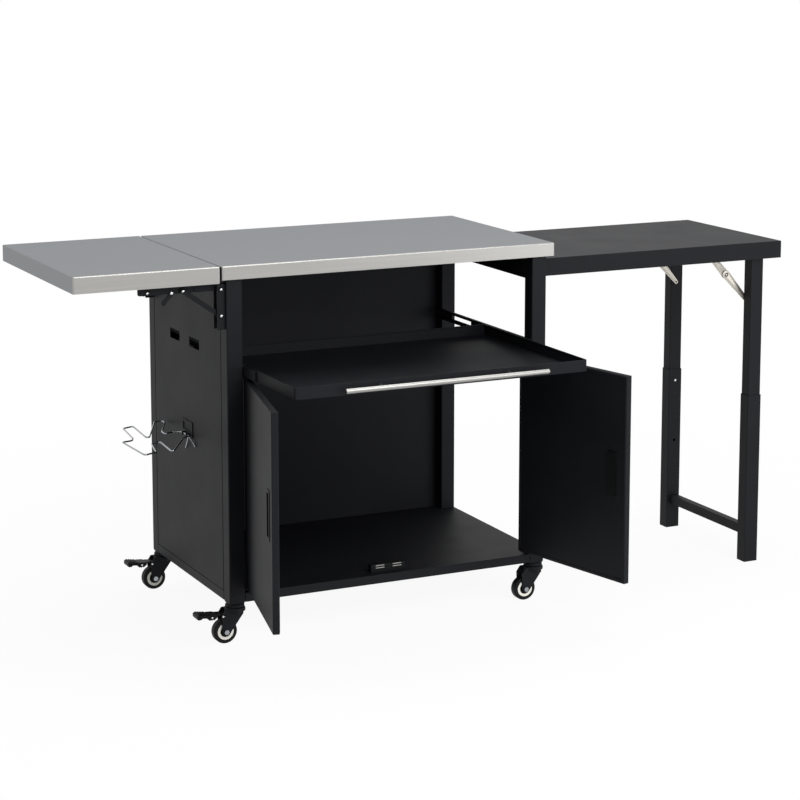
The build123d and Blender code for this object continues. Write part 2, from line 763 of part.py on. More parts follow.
def make_casters():
    """Four swivel casters under the posts; the two on the left have foot brakes."""
    mounts = []
    for name, (x, y) in post_centres.items():
        at = Pos(x, y, 0)
        braked = name.endswith("left")
        mounts.append(at * make_caster_mount())
        nodes[name + "_fork"] = at * make_fork(braked)
        nodes[name + "_axle"] = at * make_axle()
        nodes[name + "_tyre"] = at * make_tyre()
        nodes[name + "_hub"] = at * make_hub()
        if braked:
            nodes[name + "_brake_pedal"] = at * make_pedal()
    nodes["caster_mounts"] = group(*mounts)


# Side table lines
leg_x = table_right - leg_inset_end
leg_pivot_z = table_top_z - leg_pivot_drop
front_leg_ys = (table_ys[0] + leg_inset_side, table_ys[0] + leg_inset_side + sleeve_short)
table_middle = (table_ys[0] + table_ys[1]) / 2
upper_long = sleeve_long - 2 * sleeve_wall - 2 * sleeve_clearance
upper_short = sleeve_short - 2 * sleeve_wall - 2 * sleeve_clearance
leg_y = (front_leg_ys[0] + front_leg_ys[1]) / 2
leg_tab_ys = (front_leg_ys[0] - leg_tab_gap - leg_tab_thickness, front_leg_ys[0] - leg_tab_gap)
lower_link_ys = (front_leg_ys[1] + brace_gap, front_leg_ys[1] + brace_gap + brace_link_thickness)
upper_link_ys = (lower_link_ys[1] + brace_gap, lower_link_ys[1] + brace_gap + brace_link_thickness)
brace_tab_ys = (upper_link_ys[1] + brace_gap, upper_link_ys[1] + brace_gap + leg_tab_thickness)
brace_foot = (leg_x - brace_foot_offset, leg_pivot_z - brace_leg_drop)
brace_head = (leg_x - brace_leg_drop, leg_pivot_z + brace_head_rise)
brace_knee = ((brace_foot[0] + brace_head[0]) / 2, (brace_foot[1] + brace_head[1]) / 2)


def both_sides(shape):
    """A table piece and its mirror image at the rear."""
    return [shape, mirrored_y(shape, table_middle)]


def make_table_top():
    """The folded table top with welded tabs for the leg spindle and the braces."""
    xs = (table_left, table_right)
    zs = (table_top_z - table_apron, table_top_z)
    skin = rounded(block(xs, table_ys, zs), table_edge_radius, Axis.Z)
    skin = fillet(skin.faces().sort_by(Axis.Z)[-1].edges(), table_edge_radius)
    skin -= block(
        (xs[0] + table_sheet, xs[1] - table_sheet),
        (table_ys[0] + table_sheet, table_ys[1] - table_sheet),
        (zs[0], zs[1] - table_sheet),
    )
    under = table_top_z - table_sheet
    half = leg_tab_width / 2
    tab = block((leg_x - half, leg_x + half), leg_tab_ys, (leg_pivot_z - half / 2, under))
    tab -= rod("y", (leg_x, leg_pivot_z), leg_stub_radius + running_clearance, *leg_tab_ys)
    half = brace_tab_width / 2
    ear = block((brace_head[0] - half, brace_head[0] + half), brace_tab_ys, (brace_head[1] - half, under))
    ear -= rod("y", brace_head, brace_pin_radius + running_clearance, *brace_tab_ys)
    for shape in both_sides(tab) + both_sides(ear):
        skin += shape
    nodes["table_top"] = skin


def leg_block(y, long, short, zs):
    """An upright box centred on the legs' x and a given y."""
    return block((leg_x - long / 2, leg_x + long / 2), (y - short / 2, y + short / 2), zs)


def rect_tube(y, long, short, wall, zs):
    """An upright rectangular tube centred on the legs' x and a given y."""
    outer = rounded(leg_block(y, long, short, zs), wall, Axis.Z)
    return outer - leg_block(y, long - 2 * wall, short - 2 * wall, zs)


def make_legs():
    """The folding leg frame: upper tubes on a spindle, and the lower sleeves on a crossbar."""
    rear_y = 2 * table_middle - leg_y
    pivot = (leg_x, leg_pivot_z)
    upper = rod("y", pivot, leg_spindle_radius, leg_y, rear_y)
    upper += rod("y", pivot, leg_stub_radius, leg_tab_ys[0], 2 * table_middle - leg_tab_ys[0])
    upper_zs = (upper_leg_foot, leg_pivot_z + leg_top_rise)
    for y in (leg_y, rear_y):
        upper += rect_tube(y, upper_long, upper_short, sleeve_wall, upper_zs)
    hole = rod("y", brace_foot, brace_pin_radius + running_clearance, leg_y, lower_link_ys[0])
    for shape in both_sides(hole):
        upper -= shape
    nodes["upper_leg_frame"] = upper
    inner_ys = (leg_y + sleeve_short / 2 - sleeve_wall / 2, rear_y - sleeve_short / 2 + sleeve_wall / 2)
    bar_xs = (leg_x - crossbar_width / 2, leg_x + crossbar_width / 2)
    lower = block(bar_xs, inner_ys, (crossbar_z, crossbar_z + crossbar_height))
    for y in (leg_y, rear_y):
        lower += rect_tube(y, sleeve_long, sleeve_short, sleeve_wall, (foot_cap_height, sleeve_top))
    for z in adjust_hole_heights:
        hole = rod("y", (leg_x, z), adjust_hole_radius, leg_y, leg_y + sleeve_short)
        for shape in both_sides(hole):
            lower -= shape
    nodes["lower_leg_frame"] = lower
    caps = []
    for y in (leg_y, rear_y):
        cap = leg_block(y, sleeve_long, sleeve_short, (0, foot_cap_height))
        cap = rounded(cap, sleeve_wall, Axis.Z)
        caps.append(cap + leg_block(y, upper_long, upper_short, (0, foot_plug_depth)))
    nodes["foot_caps"] = group(*caps)


def make_braces():
    """Two-link braces from the table's tabs to the legs, on the legs' inner sides."""
    lower = bar_link(brace_foot, brace_knee, brace_link_width, *lower_link_ys)
    lower += rod("y", brace_foot, brace_pin_radius, leg_y + upper_short / 2 - sleeve_wall, lower_link_ys[1])
    nodes["lower_brace_links"] = group(*both_sides(lower))
    upper = bar_link(brace_head, brace_knee, brace_link_width, *upper_link_ys)
    upper += rod("y", brace_head, brace_pin_radius, upper_link_ys[0], brace_tab_ys[1])
    knee_head = upper_link_ys[1] + brace_link_thickness
    upper += rod("y", brace_knee, brace_pin_radius, upper_link_ys[0], knee_head)
    nodes["upper_brace_links"] = group(*both_sides(upper))


# Bag ring outline: distance out from the panel and along it from the ring's middle
ring_fingers = [
    (26.0, -41.0), (102.0, -172.0), (92.0, -53.0), (119.0, -69.0), (138.0, -154.0), (173.0, -171.0),
    (177.0, -21.0), (150.0, -14.0), (140.0, 9.0), (126.0, 121.0), (96.0, 134.0), (110.0, -22.0),
    (30.0, 158.0), (7.0, 160.0), (9.0, 140.0), (50.0, 48.0), (53.0, 22.0), (29.0, 31.0),
]
ring_axis_x = left_out - ring_axis_out


def make_bag_ring():
    """The zigzag wire ring and the bracket that it folds up on."""
    half = ring_ear_spacing / 2
    path_points = [(ring_axis_x, ring_centre_y - ring_end_gap / 2), (ring_axis_x, ring_centre_y - half)]
    path_points += [(left_out - out, ring_centre_y + along) for out, along in ring_fingers]
    path_points += [(ring_axis_x, ring_centre_y + half), (ring_axis_x, ring_centre_y + ring_end_gap / 2)]
    path = FilletPolyline(*[(x, y, ring_z) for x, y in path_points], radius=ring_bend_radius)
    section = Plane(origin=path @ 0, z_dir=path % 0) * Circle(ring_wire_radius)
    ring = sweep(section, path)
    top = Vector(ring_axis_x, ring_centre_y - ring_prop_offset, ring_z)
    for along, drop in ring_prop_feet:
        foot = Vector(left_out - ring_prop_radius - hinge_gap, ring_centre_y + along, ring_z - drop)
        run = foot - top
        prop = Pos(0, 0, run.length / 2) * Cylinder(ring_prop_radius, run.length)
        ring += Plane(origin=top, z_dir=run) * prop
    nodes["bag_ring"] = ring
    plate_xs = (left_out - ring_plate_sheet, left_out)
    half = ring_plate_width / 2
    low = ring_z - ring_plate_drop
    plate = block(plate_xs, (ring_centre_y - half, ring_centre_y + half), (low, low + ring_plate_height))
    plate = rounded(plate, ring_plate_corner, Axis.X)
    inset = ring_window_margin
    window_zs = (ring_z + inset, low + ring_plate_height - ring_plate_drop)
    plate -= block(plate_xs, (ring_centre_y - half + inset, ring_centre_y + half - inset), window_zs)
    for side in (-1, 1):
        y = ring_centre_y + side * ring_ear_offset
        ear_ys = (y - ring_ear_width / 2, y + ring_ear_width / 2)
        ear_xs = (ring_axis_x - ring_ear_reach, left_out)
        ear = block(ear_xs, ear_ys, (ring_z - ring_ear_reach, ring_z + ring_ear_reach))
        plate += ear - rod("y", (ring_axis_x, ring_z), ring_wire_radius + running_clearance, *ear_ys)
    nodes["ring_bracket"] = plate


def make_screws():
    """Pan head screws that hold the shelf and rails, on the rear and right faces of the posts."""
    def head(plane):
        solid = plane * Pos(0, 0, screw_head_height / 2) * Cylinder(screw_head_radius, screw_head_height)
        return fillet(solid.edges().filter_by(GeomType.CIRCLE), screw_edge_radius)

    levels = [post_foot + floor_lip / 2, tray_rim_z - tray_height / 2, under_top - rail_outer_flange]
    heads = []
    for name, (x, y) in post_centres.items():
        for z in levels:
            if name.startswith("rear"):
                heads.append(head(Plane(origin=(x, rear_out, z), z_dir=(0, 1, 0))))
            if name.endswith("right"):
                heads.append(head(Plane(origin=(right_out, y, z), z_dir=(1, 0, 0))))
    nodes["frame_screws"] = group(*heads)


def build():
    """Make every piece, centre the whole on the origin and write one file per node."""
    make_tops()
    make_posts()
    make_left_panel()
    make_back_panel()
    make_bottom_shelf()
    make_side_rail()
    make_table_hinges()
    make_tray()
    make_tray_rails()
    make_doors()
    make_brackets()
    make_casters()
    make_table_top()
    make_legs()
    make_braces()
    make_bag_ring()
    make_screws()
    boxes = [shape.bounding_box() for shape in nodes.values()]
    centre_x = (min(b.min.X for b in boxes) + max(b.max.X for b in boxes)) / 2
    centre_y = (min(b.min.Y for b in boxes) + max(b.max.Y for b in boxes)) / 2
    os.makedirs("parts", exist_ok=True)
    for name, shape in nodes.items():
        export_step(Pos(-centre_x, -centre_y, 0) * shape, f"parts/{name}.step")
    return centre_x, centre_y


cart_centre = build()
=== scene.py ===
import json
from math import acos, atan2, cos, pi, radians, sin, tau

import bmesh
import bpy
from mathutils import Matrix, Vector


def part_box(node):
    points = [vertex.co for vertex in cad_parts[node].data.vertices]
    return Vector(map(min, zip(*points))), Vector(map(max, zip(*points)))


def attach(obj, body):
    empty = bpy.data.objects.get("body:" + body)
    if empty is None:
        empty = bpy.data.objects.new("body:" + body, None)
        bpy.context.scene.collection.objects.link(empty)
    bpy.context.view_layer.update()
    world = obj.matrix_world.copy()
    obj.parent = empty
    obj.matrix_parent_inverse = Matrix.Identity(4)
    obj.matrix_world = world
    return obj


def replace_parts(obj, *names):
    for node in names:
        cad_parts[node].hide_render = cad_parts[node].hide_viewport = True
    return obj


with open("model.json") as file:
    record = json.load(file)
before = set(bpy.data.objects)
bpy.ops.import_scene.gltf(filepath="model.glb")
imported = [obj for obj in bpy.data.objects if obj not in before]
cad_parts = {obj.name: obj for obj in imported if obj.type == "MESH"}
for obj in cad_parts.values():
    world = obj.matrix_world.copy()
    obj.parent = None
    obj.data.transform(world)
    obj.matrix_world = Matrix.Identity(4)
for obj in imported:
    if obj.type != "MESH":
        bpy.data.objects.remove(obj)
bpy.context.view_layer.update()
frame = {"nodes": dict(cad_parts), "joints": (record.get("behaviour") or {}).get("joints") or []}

# A grill prep cart: a black steel cabinet on casters with a stainless worktop and drop leaf,
# a slide-out tray, two doors, and a black side table on folding legs.
# The pieces' sizes are in millimetres and turned to metres where a mesh is made. Angles are in degrees,
# and an edge that turns by more than the crisp angle stays sharp.
nodes = frame["nodes"]
pivots = {joint["name"]: Vector(joint["pos_m"]) for joint in frame["joints"] if "pos_m" in joint}
MM = 0.001
crisp_angle = 40.0
caster_names = ("front_left", "front_right", "rear_left", "rear_right")
braked_casters = ("front_left", "rear_left")

# Camera, placed from the floor point under the worktop's front left corner
camera_place = (-1963.3, -5030.6, 1765.4)
camera_turn = 25.73
camera_tilt = 9.25
focal_pixels = 2337.8
picture_pixels = 800
sensor_width = 36.0
camera_shift = -0.15

# Studio, in metres and in shares of full white
floor_half = 30.0
shadow_start = 0.9
shadow_end = 2.4
floor_whiteness = 0.93
fill_light = 0.42

# Folding brackets: places from the drop leaf's hinge, and the pins' domed ends
strut_pin_out = 93.0
strut_pin_rise = 2.0
arm_rivet_out = 178.0
pin_dome_radius = 3.4
pin_dome_height = 1.6
lever_dome_height = 0.4

# Casters and foot brakes: x from the swivel, z from the floor, half widths across the wheel
fork_half_width = 16.0
shoe_heel = (-70.0, 77.5)
shoe_toe = (-98.0, 81.5)
shoe_half_width = 18.0
shoe_bevel = 2.0
rib_first = -96.0
rib_pitch = 6.0
rib_count = 4
rib_half_width = 15.0
rib_half_thickness = 1.4
rib_root = 1.5
rib_rise = 1.4
rib_bevel = 0.6
cam_half_width = 14.0
cam_bevel = 0.6
cam_rivet = (-63.0, 70.0)
fork_rivet = (-35.5, 69.5)
brake_rivet_radius = 2.6
brake_rivet_height = 1.4

# Table legs and their folding braces
sleeve_short = 36.0
snap_button_z = 426.0
snap_button_radius = 3.6
snap_button_height = 2.4
snap_button_sunk = 0.3
leg_wall = 1.5
brace_link_thickness = 2.5
brace_gap = 0.6
brace_pin_radius = 4.0
brace_foot_radius = 5.5
brace_head_radius = 7.0
brace_knee_radius = 11.5
brace_tab_thickness = 3.0
link_border = 2.4
link_slope = 1.2
link_step = 0.7
link_edge = 0.3
washer_hole_radius = 2.4
washer_radius = 5.4
washer_thickness = 0.3
washer_edge = 0.2

# Pole plates of the door catch
magnet_width = 24.0
plate_height = 2.0
plate_proud = 0.35
plate_sunk = 0.3
plate_bevel = 0.15

# Tray rim and the collars of its handle
tray_sheet = 1.2
tray_corner = 6.0
rim_roll = 1.5
rim_inset = 0.9
rim_sides = 10
handle_post_spacing = 334.0
handle_post_radius = 4.0
collar_radius = 8.0
collar_wall = 1.2
collar_edge = 0.8
collar_height = 2.6

# Doors, at the angle that they stand open
door_width = 385.25
door_thickness = 16.0
door_open_angle = 103.0
pivot_from_edge = 11.5
pivot_from_face = 7.0
hem_width = 9.0
hem_edge = 2.0
hem_rise = 0.8
hem_slope = 0.6
hem_corner = 1.0

# Places of the colour sockets on a Mix node, which share their names with its number sockets
mix_first = 6
mix_second = 7
mix_result = 2


# Materials

def linear(code):
    """An sRGB hex code as a linear colour."""
    values = [int(code[i:i + 2], 16) / 255 for i in (1, 3, 5)]
    return [v / 12.92 if v <= 0.04045 else ((v + 0.055) / 1.055) ** 2.4 for v in values] + [1.0]


def per_metre(size):
    """How many of a size in millimetres fit in a metre, which is a pattern's scale."""
    return 1 / (size * MM)


def add(tree, kind, inputs=None, **settings):
    """Add a node with its settings; an input is a value or another node's output."""
    node = tree.nodes.new(kind)
    for name, value in settings.items():
        setattr(node, name, value)
    for name, value in (inputs or {}).items():
        if isinstance(value, bpy.types.NodeSocket):
            tree.links.new(value, node.inputs[name])
        else:
            node.inputs[name].default_value = value
    return node


def new_material(name, **sockets):
    """A material whose shader has the given plain values on its own sockets."""
    material = bpy.data.materials.new(name)
    material.use_nodes = True
    tree = material.node_tree
    shader = tree.nodes["Principled BSDF"]
    for socket, value in sockets.items():
        shader.inputs[socket.replace("_", " ")].default_value = value
    place = add(tree, "ShaderNodeTexCoord").outputs["Object"]
    return material, tree, shader, place


def vary(tree, shader, factor, colours, roughness):
    """Let a pattern run the colour between two hex codes and the roughness between two values."""
    dark, light = (linear(code) for code in colours)
    tones = {"Factor": factor, mix_first: dark, mix_second: light}
    mix = add(tree, "ShaderNodeMix", tones, data_type="RGBA")
    tree.links.new(mix.outputs[mix_result], shader.inputs["Base Color"])
    smooth, rough = roughness
    polish = add(tree, "ShaderNodeMapRange", {"Value": factor, "To Min": smooth, "To Max": rough})
    tree.links.new(polish.outputs["Result"], shader.inputs["Roughness"])


def emboss(tree, shader, height, depth, strength, edge=0.0):
    """Let a pattern raise the surface by a depth, over edges that catch light as if rounded."""
    bump = add(tree, "ShaderNodeBump", {"Height": height, "Strength": strength, "Distance": depth * MM})
    if edge:
        worn = add(tree, "ShaderNodeBevel", {"Radius": edge * MM}, samples=6)
        tree.links.new(worn.outputs["Normal"], bump.inputs["Normal"])
    tree.links.new(bump.outputs["Normal"], shader.inputs["Normal"])


def brushed_stainless():
    """Stainless steel sheet brushed along its length: a satin grey that smears what it mirrors.

    The scratches are drawn wider than real ones, so that they show.
    """
    scratch_length, scratch_width = 240.0, 1.6
    material, tree, shader, place = new_material("brushed_stainless", Metallic=1.0)
    # The cool blue specular tint is a painted reflection: it stands in for a bluish surrounding mirrored on
    # the flat top
    shader.inputs["Specular Tint"].default_value = linear("#b3b9c2")
    across = per_metre(scratch_width)
    scale = (per_metre(scratch_length), across, across)
    stretch = add(tree, "ShaderNodeMapping", {"Vector": place, "Scale": scale}).outputs["Vector"]
    streaks = add(tree, "ShaderNodeTexNoise", {"Vector": stretch, "Scale": 1.0, "Detail": 3.0})
    vary(tree, shader, streaks.outputs["Fac"], colours=("#9b9a97", "#aaa9a6"), roughness=(0.32, 0.42))
    emboss(tree, shader, streaks.outputs["Fac"], depth=0.05, strength=0.12)
    return material


def powder_coated_steel():
    """Matt black powder coat on steel sheet: fine orange peel, a soft sheen and edges that catch light."""
    peel_size, cloud_size, edge_radius = 2.2, 90.0, 1.2
    material, tree, shader, place = new_material("powder_coated_steel", Specular_IOR_Level=0.12)
    peel = add(tree, "ShaderNodeTexNoise", {"Vector": place, "Scale": per_metre(peel_size), "Detail": 2.0})
    cloud = add(tree, "ShaderNodeTexNoise", {"Vector": place, "Scale": per_metre(cloud_size), "Detail": 2.0})
    vary(tree, shader, cloud.outputs["Fac"], colours=("#111215", "#16171a"), roughness=(0.48, 0.58))
    emboss(tree, shader, peel.outputs["Fac"], depth=0.08, strength=0.25, edge=edge_radius)
    return material


def pressed_brace_steel():
    """Zinc plated steel sheet pressed to shape: a warm light grey with a soft spangle."""
    spangle = 5.0
    material, tree, shader, place = new_material("pressed_brace_steel", Metallic=1.0)
    zinc = add(tree, "ShaderNodeTexNoise", {"Vector": place, "Scale": per_metre(spangle), "Detail": 1.0})
    vary(tree, shader, zinc.outputs["Fac"], colours=("#aaa69e", "#c0bcb4"), roughness=(0.42, 0.5))
    return material


def polished_rivet_steel():
    """Bright domed rivet ends: small mirrors that show as white points.

    The polishing marks are drawn wider than real ones.
    """
    mark_size = 0.8
    material, tree, shader, place = new_material("polished_rivet_steel", Metallic=1.0)
    marks = add(tree, "ShaderNodeTexNoise", {"Vector": place, "Scale": per_metre(mark_size), "Detail": 1.0})
    vary(tree, shader, marks.outputs["Fac"], colours=("#d4d4d2", "#ecece9"), roughness=(0.16, 0.28))
    return material


def nickel_plate():
    """Nickel plate on drawn wire and bolts: a cool grey mirror with faint drawing marks.

    The marks are drawn wider than real ones.
    """
    mark_size = 1.5
    material, tree, shader, place = new_material("nickel_plate", Metallic=1.0)
    marks = add(tree, "ShaderNodeTexNoise", {"Vector": place, "Scale": per_metre(mark_size), "Detail": 1.0})
    vary(tree, shader, marks.outputs["Fac"], colours=("#8d9296", "#a2a6aa"), roughness=(0.16, 0.26))
    return material


def moulded_black_plastic():
    """Moulded nylon, black, with a spark-eroded grain that breaks up its sheen.

    The grain is drawn coarser than a real one.
    """
    grain_size = 1.2
    material, tree, shader, place = new_material("moulded_black_plastic", IOR=1.5, Specular_IOR_Level=0.12)
    grain = add(tree, "ShaderNodeTexNoise", {"Vector": place, "Scale": per_metre(grain_size), "Detail": 2.0})
    vary(tree, shader, grain.outputs["Fac"], colours=("#090a0b", "#101112"), roughness=(0.42, 0.55))
    emboss(tree, shader, grain.outputs["Fac"], depth=0.06, strength=0.3)
    return material


def tyre_polyurethane():
    """Cast polyurethane tread, black: smooth, slightly waxy, dulled where it rolls."""
    scuff_size = 4.0
    material, tree, shader, place = new_material("tyre_polyurethane", IOR=1.5, Specular_IOR_Level=0.15)
    scuff = add(tree, "ShaderNodeTexNoise", {"Vector": place, "Scale": per_metre(scuff_size), "Detail": 3.0})
    vary(tree, shader, scuff.outputs["Fac"], colours=("#070708", "#0e0e0f"), roughness=(0.45, 0.62))
    emboss(tree, shader, scuff.outputs["Fac"], depth=0.1, strength=0.15)
    return material


def grey_polypropylene():
    """Injection moulded polypropylene: a light warm grey with a soft sheen and faint flow marks."""
    flow_size = 12.0
    material, tree, shader, place = new_material("grey_polypropylene", IOR=1.49)
    flow = add(tree, "ShaderNodeTexNoise", {"Vector": place, "Scale": per_metre(flow_size), "Detail": 2.0})
    vary(tree, shader, flow.outputs["Fac"], colours=("#d8d6ce", "#e4e2da"), roughness=(0.38, 0.48))
    return material


def sintered_magnet():
    """Ground ferrite magnet: a dull near black with a fine mottle from grinding, drawn coarser than real."""
    grind_size = 0.8
    material, tree, shader, place = new_material("sintered_magnet", Specular_IOR_Level=0.2)
    grind = add(tree, "ShaderNodeTexNoise", {"Vector": place, "Scale": per_metre(grind_size), "Detail": 1.0})
    vary(tree, shader, grind.outputs["Fac"], colours=("#0d0e0f", "#17181a"), roughness=(0.35, 0.5))
    return material


stainless = brushed_stainless()
black_steel = powder_coated_steel()
brace_steel = pressed_brace_steel()
rivet_steel = polished_rivet_steel()
nickel = nickel_plate()
black_plastic = moulded_black_plastic()
tyre_black = tyre_polyurethane()
hub_grey = grey_polypropylene()
magnet_black = sintered_magnet()


def finish_for(name):
    """The finish of a CAD node, from its name."""
    if name in ("worktop", "side_shelf", "tray_handle"):
        return stainless
    if name in ("upper_brace_links", "lower_brace_links"):
        return brace_steel
    if name.endswith("_axle") or name == "bag_ring":
        return nickel
    if name == "catch_magnets":
        return magnet_black
    if name.endswith("_tyre"):
        return tyre_black
    if name.endswith(("_hub", "_door_pull", "_brake_pedal")) or name in ("magnetic_catch", "foot_caps"):
        return black_plastic
    return black_steel


for name, node in nodes.items():
    node.data.materials.clear()
    node.data.materials.append(finish_for(name))


# Mesh helpers

def piece(name, mesh_data, material, body):
    """Turn a bmesh in millimetres into a piece that rides on a body."""
    bmesh.ops.recalc_face_normals(mesh_data, faces=mesh_data.faces)
    bmesh.ops.scale(mesh_data, vec=(MM, MM, MM), verts=mesh_data.verts)
    mesh = bpy.data.meshes.new(name)
    mesh_data.to_mesh(mesh)
    mesh_data.free()
    mesh.materials.append(material)
    mesh.shade_smooth()
    mesh.set_sharp_from_angle(angle=radians(crisp_angle))
    shape = bpy.data.objects.new(name, mesh)
    bpy.context.scene.collection.objects.link(shape)
    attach(shape, body)
    return shape


def bridge(mesh_data, loops, closed=False):
    """Join loops of points into a skin; a loop of one point is a tip."""
    rings = [[mesh_data.verts.new(point) for point in loop] for loop in loops]
    steps = max(len(ring) for ring in rings)
    pairs = list(zip(rings, rings[1:]))
    if closed:
        pairs.append((rings[-1], rings[0]))
    for low, high in pairs:
        for i in range(steps):
            j = (i + 1) % steps
            corners = [low[i % len(low)], low[j % len(low)], high[j % len(high)], high[i % len(high)]]
            mesh_data.faces.new(list(dict.fromkeys(corners)))
    return mesh_data


def lathe(mesh_data, profile, centre, axis, closed=False, steps=40):
    """Spin a profile of (radius, height) points about an axis through centre."""
    turn = Vector((0, 0, 1)).rotation_difference(Vector(axis)).to_matrix()
    loops = []
    for radius, height in profile:
        angles = [tau * i / steps for i in range(steps if radius > 0 else 1)]
        ring = [Vector((radius * cos(a), radius * sin(a), height)) for a in angles]
        loops.append([Vector(centre) + turn @ point for point in ring])
    return bridge(mesh_data, loops, closed)


def dome(mesh_data, centre, axis, radius, height, rings=5):
    """A rivet head that bulges along an axis from a flat seat."""
    arcs = [pi / 2 * i / rings for i in range(rings)]
    profile = [(0, 0)] + [(radius * cos(a), height * sin(a)) for a in arcs] + [(0, height)]
    return lathe(mesh_data, profile, centre, axis, steps=24)


def slab(mesh_data, low, high, bevel):
    """A box between two corners with bevelled edges."""
    low, high = Vector(low), Vector(high)
    made = bmesh.ops.create_cube(mesh_data, size=1.0)["verts"]
    for vert in made:
        vert.co = (low + high) / 2 + vert.co * (high - low)
    edges = list(dict.fromkeys(edge for vert in made for edge in vert.link_edges))
    bmesh.ops.bevel(mesh_data, geom=edges, offset=bevel, segments=2, profile=0.5, affect="EDGES")
    return mesh_data


def flat_bar(mesh_data, outline, ys, bevel):
    """A bar with an outline of x, z points between two y values, its ends drawn in by a bevel."""
    middle = sum((Vector(point) for point in outline), Vector((0, 0))) / len(outline)
    inset = []
    for point in outline:
        away = Vector(point) - middle
        inset.append(middle + away * (1 - bevel / away.length))
    low, high = ys
    loops = [[(middle.x, low, middle.y)]]
    for ring, y in ((inset, low), (outline, low + bevel), (outline, high - bevel), (inset, high)):
        loops.append([(x, y, z) for x, z in ring])
    loops.append([(middle.x, high, middle.y)])
    return bridge(mesh_data, loops)


def pin(mesh_data, spot, radius, start, end, chamfer=0.4):
    """A pin along y at an x, z spot, with chamfered ends."""
    length = abs(end - start)
    profile = [(0, 0), (radius - chamfer, 0), (radius, chamfer)]
    profile += [(r, length - height) for r, height in reversed(profile)]
    return lathe(mesh_data, profile, (spot.x, min(start, end), spot.y), (0, 1, 0), steps=28)


def tapered_outline(start, end, radii, inset, steps=10):
    """The x, z points of a link that tapers between two round ends, drawn in by an inset."""
    along = end - start
    heading = atan2(along.y, along.x)
    spread = acos((radii[0] - radii[1]) / along.length)
    arcs = ((end, radii[1], -spread, spread), (start, radii[0], spread, tau - spread))
    points = []
    for spot, radius, first, last in arcs:
        for i in range(steps + 1):
            a = heading + first + (last - first) * i / steps
            points.append(spot + (radius - inset) * Vector((cos(a), sin(a))))
    return points


def pressed_link(mesh_data, start, end, radii, ys):
    """A tapered link between two y values with a rib pressed along its middle on both faces."""
    low, high = sorted(ys)
    middle = (start + end) / 2
    section = [
        (link_border + link_slope, 0.0),
        (link_border, link_step),
        (link_edge, link_step),
        (0.0, link_step + link_edge),
    ]
    levels = [(inset, low + rise) for inset, rise in section]
    levels += [(inset, high - rise) for inset, rise in reversed(section)]
    loops = [[(middle.x, low, middle.y)]]
    for inset, y in levels:
        loops.append([(point.x, y, point.y) for point in tapered_outline(start, end, radii, inset)])
    loops.append([(middle.x, high, middle.y)])
    return bridge(mesh_data, loops)


def rounded_rectangle(half_x, half_y, radius, steps=6):
    """The points of a rectangle with round corners about the origin."""
    points = []
    for quarter, (side_x, side_y) in enumerate(((1, 1), (-1, 1), (-1, -1), (1, -1))):
        for i in range(steps + 1):
            a = (quarter + i / steps) * pi / 2
            x = side_x * (half_x - radius) + radius * cos(a)
            y = side_y * (half_y - radius) + radius * sin(a)
            points.append((x, y))
    return points


def in_mm(point):
    """A frame point in millimetres."""
    return Vector(point) / MM


def flat(point):
    """A frame point's x and z in millimetres."""
    return in_mm(point).xz


def box_mm(name):
    """A CAD node's corners in millimetres."""
    return [in_mm(corner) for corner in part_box(name)]


# Added pieces

def make_hub_rings():
    """The light grey cover ring on both faces of each wheel's hub."""
    # Radii, and heights from the wheel's middle
    profile = [(13.6, 8.6), (13.6, 10.2), (14.2, 11.0), (17.2, 11.4), (20.0, 11.0), (20.7, 10.2),
               (20.7, 8.6)]
    for name in caster_names:
        centre = in_mm(pivots[name + "_roll"])
        rings = bmesh.new()
        for side in (-1, 1):
            lathe(rings, profile, centre, (0, side, 0), closed=True, steps=56)
        piece(name + "_hub_rings", rings, hub_grey, name + "_wheel")


def make_swivel_races():
    """Pressed ball races around the casters' swivels: a cup on the fork and a cap under the post."""
    # Radii, and heights above the floor
    cup = [(18.0, 76.6), (23.6, 76.6), (25.6, 78.2), (26.0, 81.5), (25.2, 85.4), (23.4, 87.2), (18.0, 87.2)]
    cap = [(16.4, 88.2), (22.4, 88.2), (23.6, 89.6), (23.2, 92.6), (21.0, 95.6), (18.6, 96.8), (16.4, 96.8)]
    for name in caster_names:
        swivel = in_mm(pivots[name + "_swivel"])
        foot = (swivel.x, swivel.y, 0)
        cups = lathe(bmesh.new(), cup, foot, (0, 0, 1), closed=True, steps=48)
        piece(name + "_race_cup", cups, black_steel, name + "_caster")
        caps = lathe(bmesh.new(), cap, foot, (0, 0, 1), closed=True, steps=48)
        piece(name + "_race_cap", caps, black_steel, "cart")


def brake_bar(outline, swivel, half_width, bevel):
    """A bar across a caster's wheel, with an outline of x from the swivel and z from the floor."""
    ys = (swivel.y - half_width, swivel.y + half_width)
    return flat_bar(bmesh.new(), [(swivel.x + x, z) for x, z in outline], ys, bevel)


def brake_rivet_ends(spot, swivel, half_width):
    """Domed rivet ends on both sides of a caster, at an x from the swivel and a z from the floor."""
    x, z = spot
    ends = bmesh.new()
    for side in (-1, 1):
        seat = (swivel.x + x, swivel.y + side * half_width, z)
        dome(ends, seat, (0, side, 0), brake_rivet_radius, brake_rivet_height)
    return ends


